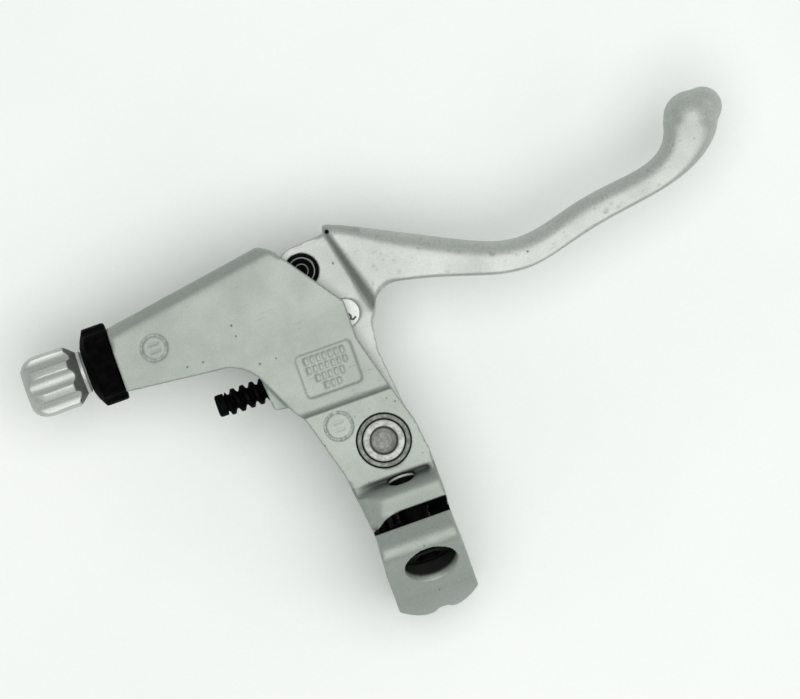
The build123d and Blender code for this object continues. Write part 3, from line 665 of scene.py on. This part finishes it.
# ---------------------------------------------------------------- hardware (millimetres)
KNOB_R = 6.55
COLLAR_R = 4.45
LAND_END = -54.8                         # where the knob's lands run out into its cone
COLLAR_START = -52.6
CONE_TOP_R = KNOB_R - 0.1
CONE_FALL = (CONE_TOP_R - COLLAR_R) / (COLLAR_START - LAND_END)
# how dark the painted shade on the cone and in the flutes is
CONE_DARK = 0.72
FLUTE_DARK = 0.20
# how dark the painted shade in the axle head's dish is
DISH_DARK = 0.46
HOOK_RINGS = (1.35, 2.62)                # pale rings on the hook's end
HOOK_END_LEVEL = 3.5                     # its ends lie further than this from the middle
RING_PALE = 0.42
PLUG_MARK = ((1.3, 26.4), (1.9, 26.0), (2.1, 25.5), (1.8, 25.1), (2.3, 24.8), (2.9, 25.1))
MARK_HALF = 0.14                         # the mark is a small plain line, like a bent hair
FAR_FROM_MARK = 9.0

knob = refined("adjuster_barrel", "adjuster_knob", 0.16, 4, KNOB)
knob_spots = rows_of(knob.data, "co") / MM
knob_axis = (KNOB_LOW + KNOB_HIGH) / 2 / MM
knob_r = np.hypot(knob_spots[:, 1] - knob_axis.y, knob_spots[:, 2] - knob_axis.z)
past_land = knob_spots[:, 0] - LAND_END
# painted shade on the cone and in the flutes
on_cone = ((1 - rise(abs(knob_r - (CONE_TOP_R - past_land * CONE_FALL)), 0.12, 0.35))
           * rise(past_land, 0.05, 0.35) * (knob_spots[:, 0] < COLLAR_START + 0.1))
in_flute = (1 - rise(knob_r, KNOB_R - 0.55, KNOB_R - 0.15)) * (past_land < 1.4)
store(knob, "painted_shade", np.maximum(on_cone * CONE_DARK, in_flute * FLUTE_DARK))
refined("lock_nut", "lock_nut_moulded", 0.18, 4, PLASTIC)

bolt = refined("clamp_bolt", "clamp_bolt_black", 0.14, 2, OXIDE)
bolt_along, bolt_off = about_bolt(rows_of(bolt.data, "co") / MM)
store(bolt, "pale_mark", rise(-bolt_along, BOLT_END - 0.7, BOLT_END - 0.4) * rise(bolt_off, 1.7, 2.2))

axle = refined("pivot_axle", "pivot_axle_head", 0.14, 2, STEEL)
# painted shade: a dark ring round the axle head's rim and a darkened dish
axle_r = from_pivot(axle)
axle_rim = rise(axle_r, AXLE_HEAD_R - 0.16, AXLE_HEAD_R - 0.03)
dish = 1 - rise(axle_r, DISH_R - 0.25, DISH_R + 0.1)
store(axle, "painted_shade", np.maximum(axle_rim, dish * DISH_DARK))
for node, name in (("pivot_sleeve_near", "sleeve_near"), ("pivot_sleeve_far", "sleeve_far")):
    sleeve = refined(node, name, 0.12, 1, DULL_STEEL)
    # painted shade in the gaps at the sleeve's outer and inner rims
    sleeve_r = from_pivot(sleeve)
    outer_rim = rise(sleeve_r, SLEEVE_R - 0.14, SLEEVE_R - 0.02)
    inner_rim = 1 - rise(sleeve_r, AXLE_HEAD_R + 0.04, AXLE_HEAD_R + 0.18)
    store(sleeve, "painted_shade", np.maximum(outer_rim, inner_rim))

hook = refined("cable_hook", "cable_hook_barrel", 0.10, 2, HOOK_PLASTIC)
hook_low, hook_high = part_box("cable_hook")
hook_spots = rows_of(hook.data, "co")
hook_r = off_point(hook_spots, (hook_low + hook_high) / 2) / MM
on_end = abs(hook_spots[:, 2] - PIVOT.z) > HOOK_END_LEVEL * MM
rings = np.maximum(*[1 - rise(abs(hook_r - ring), 0.04, 0.16) for ring in HOOK_RINGS])
store(hook, "pale_mark", on_end * RING_PALE * rings)
refined("hook_liner", "hook_liner_ring", 0.10, 1, HOOK_PLASTIC)

plug = refined("guide_plug", "guide_plug_moulded", 0.12, 2, NYLON)
plug_spots = rows_of(plug.data, "co") / MM - np.array(PIVOT) / MM
from_mark = np.full(len(plug_spots), FAR_FROM_MARK)
for (x0, y0), (x1, y1) in zip(PLUG_MARK, PLUG_MARK[1:]):
    run = np.array((x1 - x0, y1 - y0))
    reach = np.clip(((plug_spots[:, :2] - (x0, y0)) @ run) / (run @ run), 0, 1)
    gap = plug_spots[:, :2] - (x0, y0) - reach[:, None] * run
    from_mark = np.minimum(from_mark, np.hypot(gap[:, 0], gap[:, 1]))
store(plug, "mark", (1 - rise(from_mark, MARK_HALF, MARK_HALF + 0.12)) * (plug_spots[:, 2] > 0))

KEPT_MESHES = {"axle_washer": STEEL, "axle_clip": WIRE, "thrust_washer_near": NYLON,
               "thrust_washer_far": NYLON, "return_spring": WIRE, "lever_bush": BRONZE,
               "adjuster_seat": STEEL, "reach_tip": NYLON}
for node, finish in KEPT_MESHES.items():
    restyled(node, finish)

# ---------------------------------------------------------------- reach screw (metres)
THREAD_R = 2.55 * MM
CORE_R = 1.62 * MM
THREAD_PITCH = 2.0 * MM
HEAD_LENGTH = 1.9 * MM
HEAD_R = 2.25 * MM
HEAD_EDGE = 0.45 * MM                    # length of the head's rounded edge, and its fall
HEAD_EDGE_FALL = 0.35 * MM
RUN_IN = 0.5 * MM                        # the thread rises over these at its two ends
RUN_OUT = 0.8 * MM
SCREW_STEPS = 170
SCREW_TURN_STEPS = 48


def screw_radius(x, angle):
    """A rounded head, then a real helical thread."""
    along = x - SCREW_LOW.x
    if along < HEAD_LENGTH:
        edge = max(0.0, 1 - along / HEAD_EDGE)
        return HEAD_R - HEAD_EDGE_FALL * edge ** 2
    turn = ((along - HEAD_LENGTH) / THREAD_PITCH - angle / (2 * math.pi)) % 1.0
    crest = 0.5 + 0.5 * math.cos(2 * math.pi * turn)
    ridge = min(1.0, 1.45 * crest ** 1.2)
    ramp = min(1.0, (along - HEAD_LENGTH) / RUN_IN, (SCREW_HIGH.x - x) / RUN_OUT)
    return CORE_R + (THREAD_R - CORE_R) * ridge * max(ramp, 0.0)


screw_span = SCREW_HIGH.x - SCREW_LOW.x
stations = [SCREW_LOW.x + screw_span * step / SCREW_STEPS for step in range(SCREW_STEPS + 1)]
reach_screw = screw_skin("reach_screw_threaded", stations, screw_radius, SCREW_TURN_STEPS, OXIDE,
                         frame["nodes"]["reach_screw"]["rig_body"],
                         (SCREW_LOW + SCREW_HIGH) / 2)
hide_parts("reach_screw")

# ---------------------------------------------------------------- floor, light, camera
FLOOR_SIZE = 3.0
floor_mesh = bpy.data.meshes.new("floor")
floor_bmesh = bmesh.new()
bmesh.ops.create_grid(floor_bmesh, x_segments=8, y_segments=8, size=FLOOR_SIZE / 2)
floor_bmesh.to_mesh(floor_mesh)
floor_bmesh.free()
floor_mesh.materials.append(paper())
floor = bpy.data.objects.new("floor", floor_mesh)
floor.location.z = cad_box[0].z
scene.collection.objects.link(floor)

VIEW_TURN = math.radians(-19.6)          # the object lies turned in the picture
VIEW_CENTRE = PIVOT + Vector((9.09, 15.98, 0)) * MM   # what the camera looks at
VIEW_PLANE = PIVOT.z + 3.0 * MM          # between the blade's middle and the cheek's face
LENS = 300.0
VIEW_DISTANCE = 4 / 900 * LENS           # a 36 mm sensor then sees 160 mm of the view plane
LIGHT_AIM = (0.01, 0.03, 0)
WORLD_COLOUR = (0.93, 0.97, 0.95, 1)
WORLD_STRENGTH = 0.43


def area_light(name, place, size, power, colour):
    """A round soft light that faces the object."""
    lamp = bpy.data.lights.new(name, "AREA")
    lamp.shape = "DISK"
    lamp.size = size
    lamp.energy = power
    lamp.color = colour
    holder = bpy.data.objects.new(name, lamp)
    holder.location = place
    holder.rotation_euler = (Vector(LIGHT_AIM) - Vector(place)).to_track_quat("-Z", "Y").to_euler()
    scene.collection.objects.link(holder)


area_light("overhead", (0.12, -0.12, 1.6), 1.8, 21.0, (1.0, 1.0, 0.985))
area_light("side", (0.9, -0.5, 0.8), 0.6, 1.2, WHITE)

world = bpy.data.worlds.new("studio")
world.use_nodes = True
world.node_tree.nodes["Background"].inputs["Color"].default_value = WORLD_COLOUR
world.node_tree.nodes["Background"].inputs["Strength"].default_value = WORLD_STRENGTH
scene.world = world
scene.view_settings.view_transform = "Standard"

camera_data = bpy.data.cameras.new("camera")
camera_data.lens = LENS
camera_data.clip_start = 0.01
camera_data.clip_end = 20.0
camera = bpy.data.objects.new("camera", camera_data)
camera.location = (VIEW_CENTRE.x, VIEW_CENTRE.y, VIEW_PLANE + VIEW_DISTANCE)
camera.rotation_euler = (0, 0, VIEW_TURN)
scene.collection.objects.link(camera)
scene.camera = camera
